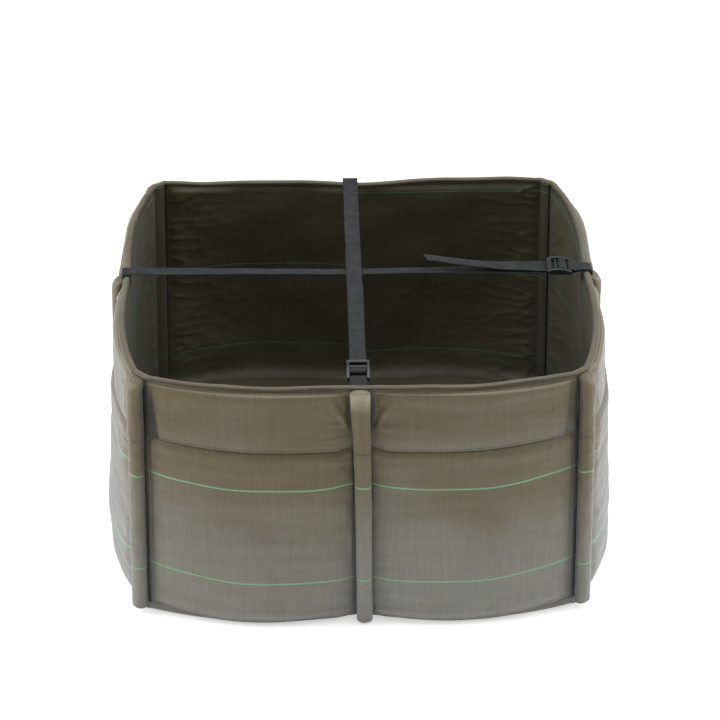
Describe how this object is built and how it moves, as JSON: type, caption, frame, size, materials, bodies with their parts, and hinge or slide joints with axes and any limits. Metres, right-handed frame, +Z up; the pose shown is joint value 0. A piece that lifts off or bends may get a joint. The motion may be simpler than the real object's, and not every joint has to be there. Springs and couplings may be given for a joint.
{
  "type": "fabric grow bag",
  "caption": "Square double-walled fabric grow bag with stiffened upright sleeves, a seamed cuff, a rolled rim and two webbing straps crossing the mouth, each with a tilting ladder-lock buckle.",
  "frame": {"origin": "middle of the bag's footprint, on the floor", "axes": "+Z up; the front faces -Y, with the front buckle on that side; the side buckle is at +X"},
  "size_m": [0.8016, 0.8037, 0.4423],
  "materials": {
    "woven_cloth": "woven, slightly sheened taupe",
    "lining_cloth": "woven, matt olive-brown",
    "felt": "needle felt, matt",
    "rod_plastic": "matt",
    "webbing": "flat woven webbing, charcoal",
    "buckle_plastic": "moulded, semi-gloss"
  },
  "bodies": {
    "bag": {"outer_panel_front_left": "woven_cloth", "cuff_front_left": "woven_cloth", "outer_panel_front_right": "woven_cloth", "cuff_front_right": "woven_cloth", "felt_core_front": "felt", "lining_front": "lining_cloth", "sleeve_front_middle": "woven_cloth", "stiffener_rod_front_middle": "rod_plastic", "sleeve_front_left_corner": "woven_cloth", "stiffener_rod_front_left_corner": "rod_plastic", "rim_roll_front": "woven_cloth", "outer_panel_right_left": "woven_cloth", "cuff_right_left": "woven_cloth", "outer_panel_right_right": "woven_cloth", "cuff_right_right": "woven_cloth", "felt_core_right": "felt", "lining_right": "lining_cloth", "sleeve_right_middle": "woven_cloth", "stiffener_rod_right_middle": "rod_plastic", "sleeve_right_front_corner": "woven_cloth", "stiffener_rod_right_front_corner": "rod_plastic", "rim_roll_right": "woven_cloth", "outer_panel_back_left": "woven_cloth", "cuff_back_left": "woven_cloth", "outer_panel_back_right": "woven_cloth", "cuff_back_right": "woven_cloth", "felt_core_back": "felt", "lining_back": "lining_cloth", "sleeve_back_middle": "woven_cloth", "stiffener_rod_back_middle": "rod_plastic", "sleeve_back_right_corner": "woven_cloth", "stiffener_rod_back_right_corner": "rod_plastic", "rim_roll_back": "woven_cloth", "outer_panel_left_left": "woven_cloth", "cuff_left_left": "woven_cloth", "outer_panel_left_right": "woven_cloth", "cuff_left_right": "woven_cloth", "felt_core_left": "felt", "lining_left": "lining_cloth", "sleeve_left_middle": "woven_cloth", "stiffener_rod_left_middle": "rod_plastic", "sleeve_left_back_corner": "woven_cloth", "stiffener_rod_left_back_corner": "rod_plastic", "rim_roll_left": "woven_cloth", "base_panel": "woven_cloth", "base_felt": "felt", "base_lining": "lining_cloth", "front_anchor_strap": "webbing", "side_anchor_strap": "webbing", "front_to_back_strap": "webbing", "side_to_side_strap": "webbing", "front_strap_tail": "webbing", "side_strap_tail": "webbing"},
    "front_buckle_body": {"front_buckle": "buckle_plastic", "front_buckle_webbing": "webbing"},
    "side_buckle_body": {"side_buckle": "buckle_plastic", "side_buckle_webbing": "webbing"}
  },
  "joints": [
    {"name": "front_buckle_tilt", "type": "hinge", "parent": "bag", "child": "front_buckle_body", "pos_m": [-0.005, -0.346, 0.414], "axis": [1, 0, 0], "range_deg": [0, 35]},
    {"name": "side_buckle_tilt", "type": "hinge", "parent": "bag", "child": "side_buckle_body", "pos_m": [0.3415, 0, 0.4222], "axis": [0, 0.9744, 0.225], "range_deg": [0, 35]}
  ]
}
